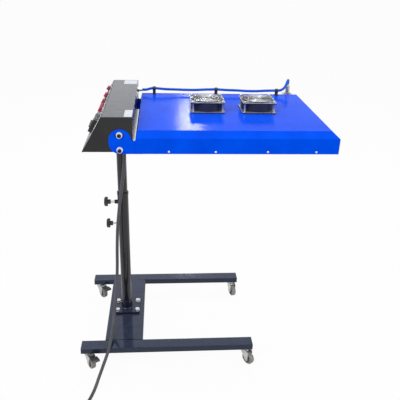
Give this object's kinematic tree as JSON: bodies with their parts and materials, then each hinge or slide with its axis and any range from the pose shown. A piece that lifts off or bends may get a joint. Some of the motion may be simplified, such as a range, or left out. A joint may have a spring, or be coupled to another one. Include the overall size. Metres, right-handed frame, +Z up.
{
  "type": "screen printing flash dryer",
  "caption": "Mobile flash dryer: a tilting infrared hood with cooling fans beside a control box, on a telescopic column over a wheeled base, with a coiled power cord.",
  "frame": {"origin": "on the floor under the column's axis", "axes": "+X along the hood away from the control box, +Y across it to the side with the temperature sensor, +Z up"},
  "size_m": [0.8825, 0.9312, 1.0122],
  "materials": {
    "frame_paint": "gloss",
    "column_paint": "gloss",
    "box_paint": "gloss",
    "panel_paint": "satin",
    "blue_paint": "gloss",
    "zinc": "bright zinc",
    "fork_zinc": "zinc plated pressing",
    "hub_plastic": "satin",
    "tyre_rubber": "matte",
    "knob_plastic": "satin",
    "black_plastic": "satin",
    "lever_plastic": "satin",
    "red_plastic": "gloss",
    "relay_plastic": "matte",
    "gland_chrome": "polished",
    "ceramic_wool": "fibrous",
    "bright_sheet": "polished",
    "quartz": "frosted quartz",
    "guard_wire": "zinc",
    "fan_black": "satin",
    "guard_chrome": "polished",
    "sensor_body": "satin",
    "blue_sheath": "satin",
    "cord_sheath": "satin",
    "plug_plastic": "satin"
  },
  "bodies": {
    "base": {"near_rail": "frame_paint", "far_rail": "frame_paint", "rail_end_caps": "black_plastic", "crossbar": "frame_paint", "column_foot": "frame_paint", "foot_bolts": "zinc", "outer_column": "column_paint", "caster_stems": "zinc", "power_cord_lower": "cord_sheath", "cord_coil": "cord_sheath", "plug": "plug_plastic"},
    "mast_tube": {"mast": "column_paint"},
    "upper_clamp": {"upper_knob": "knob_plastic", "upper_stud": "zinc"},
    "lower_clamp": {"lower_knob": "knob_plastic", "lower_stud": "zinc"},
    "head": {"head_socket": "column_paint", "head_bolts": "zinc", "control_box": "box_paint", "control_panel": "panel_paint", "heater_relay": "relay_plastic", "cable_glands": "gland_chrome", "breaker_body": "black_plastic", "switch_bezels": "black_plastic", "power_cord_upper": "cord_sheath"},
    "breaker_switch": {"breaker_lever": "lever_plastic"},
    "heater_switch": {"heater_rocker": "red_plastic"},
    "fan_switch": {"fan_rocker": "red_plastic"},
    "sensor_switch": {"sensor_rocker": "red_plastic"},
    "main_switch": {"main_rocker": "red_plastic"},
    "hood": {"hood_shell": "blue_paint", "side_brackets": "blue_paint", "hood_screws": "zinc", "insulation": "ceramic_wool", "reflector": "bright_sheet", "quartz_tubes": "quartz", "tube_holders": "bright_sheet", "wire_guard": "guard_wire", "fan_frames": "fan_black", "fan_guards": "guard_chrome", "cable_clips": "black_plastic", "sensor": "sensor_body", "sensor_cable": "blue_sheath", "sensor_cable_loop": "blue_sheath"},
    "left_fan": {"left_fan_rotor": "fan_black"},
    "right_fan": {"right_fan_rotor": "fan_black"},
    "near_left_caster": {"near_left_fork": "fork_zinc"},
    "near_left_wheel": {"near_left_hub": "hub_plastic", "near_left_tyre": "tyre_rubber"},
    "near_brake": {"near_brake_pedal": "zinc"},
    "near_right_caster": {"near_right_fork": "fork_zinc"},
    "near_right_wheel": {"near_right_hub": "hub_plastic", "near_right_tyre": "tyre_rubber"},
    "far_left_caster": {"far_left_fork": "fork_zinc"},
    "far_left_wheel": {"far_left_hub": "hub_plastic", "far_left_tyre": "tyre_rubber"},
    "far_brake": {"far_brake_pedal": "zinc"},
    "far_right_caster": {"far_right_fork": "fork_zinc"},
    "far_right_wheel": {"far_right_hub": "hub_plastic", "far_right_tyre": "tyre_rubber"}
  },
  "joints": [
    {"name": "mast_lift", "type": "slide", "parent": "base", "child": "mast_tube", "axis": [0, 0, 1], "range_m": [-0.2, 0.1], "deforming": ["power_cord_lower"]},
    {"name": "head_swing", "type": "hinge", "parent": "mast_tube", "child": "head", "pos_m": [0, 0, 0.884], "axis": [0, 0, 1], "range_deg": [-90, 90], "deforming": ["power_cord_upper"]},
    {"name": "hood_tilt", "type": "hinge", "parent": "head", "child": "hood", "pos_m": [0.0172, 0, 0.8975], "axis": [0, 1, 0], "range_deg": [-8, 8], "deforming": ["sensor_cable_loop"]},
    {"name": "upper_knob_turn", "type": "hinge", "parent": "base", "child": "upper_clamp", "pos_m": [-0.06, 0, 0.592], "axis": [1, 0, 0], "range_deg": [-180, 180]},
    {"name": "lower_knob_turn", "type": "hinge", "parent": "base", "child": "lower_clamp", "pos_m": [-0.055, 0, 0.499], "axis": [1, 0, 0], "range_deg": [-180, 180]},
    {"name": "breaker_flip", "type": "hinge", "parent": "head", "child": "breaker_switch", "pos_m": [-0.06332, -0.187, 0.95658], "axis": [0, 1, 0], "range_deg": [0, 48]},
    {"name": "heater_press", "type": "hinge", "parent": "head", "child": "heater_switch", "pos_m": [-0.05358, 0.232, 0.97405], "axis": [0, -1, 0], "range_deg": [0, 18]},
    {"name": "fan_press", "type": "hinge", "parent": "head", "child": "fan_switch", "pos_m": [-0.05358, 0.11788, 0.97405], "axis": [0, -1, 0], "range_deg": [0, 18]},
    {"name": "sensor_press", "type": "hinge", "parent": "head", "child": "sensor_switch", "pos_m": [-0.05358, 0.02097, 0.97405], "axis": [0, -1, 0], "range_deg": [0, 18]},
    {"name": "main_press", "type": "hinge", "parent": "head", "child": "main_switch", "pos_m": [-0.05358, -0.05496, 0.97405], "axis": [0, -1, 0], "range_deg": [0, 18]},
    {"name": "left_fan_spin", "type": "hinge", "parent": "hood", "child": "left_fan", "pos_m": [0.312, 0.012, 0.9628], "axis": [0, 0, 1], "continuous": true},
    {"name": "right_fan_spin", "type": "hinge", "parent": "hood", "child": "right_fan", "pos_m": [0.495, 0.012, 0.9628], "axis": [0, 0, 1], "continuous": true},
    {"name": "near_left_swivel", "type": "hinge", "parent": "base", "child": "near_left_caster", "pos_m": [-0.136, -0.2315, 0.062], "axis": [0, 0, 1], "continuous": true},
    {"name": "near_left_roll", "type": "hinge", "parent": "near_left_caster", "child": "near_left_wheel", "pos_m": [-0.1254, -0.24846, 0.025], "axis": [0.848, 0.5299, 0], "continuous": true},
    {"name": "near_brake_press", "type": "hinge", "parent": "near_left_caster", "child": "near_brake", "pos_m": [-0.11957, -0.25779, 0.056], "axis": [0.848, 0.5299, 0], "range_deg": [0, 15]},
    {"name": "near_right_swivel", "type": "hinge", "parent": "base", "child": "near_right_caster", "pos_m": [0.474, -0.2315, 0.062], "axis": [0, 0, 1], "continuous": true},
    {"name": "near_right_roll", "type": "hinge", "parent": "near_right_caster", "child": "near_right_wheel", "pos_m": [0.48631, -0.24726, 0.025], "axis": [0.788, 0.6157, 0], "continuous": true},
    {"name": "far_left_swivel", "type": "hinge", "parent": "base", "child": "far_left_caster", "pos_m": [-0.136, 0.2315, 0.062], "axis": [0, 0, 1], "continuous": true},
    {"name": "far_left_roll", "type": "hinge", "parent": "far_left_caster", "child": "far_left_wheel", "pos_m": [-0.12424, 0.21532, 0.025], "axis": [0.809, 0.5878, 0], "continuous": true},
    {"name": "far_brake_press", "type": "hinge", "parent": "far_left_caster", "child": "far_brake", "pos_m": [-0.11778, 0.20642, 0.056], "axis": [0.809, 0.5878, 0], "range_deg": [0, 15]},
    {"name": "far_right_swivel", "type": "hinge", "parent": "base", "child": "far_right_caster", "pos_m": [0.474, 0.2315, 0.062], "axis": [0, 0, 1], "continuous": true},
    {"name": "far_right_roll", "type": "hinge", "parent": "far_right_caster", "child": "far_right_wheel", "pos_m": [0.48018, 0.21248, 0.025], "axis": [0.9511, 0.309, 0], "continuous": true}
  ]
}
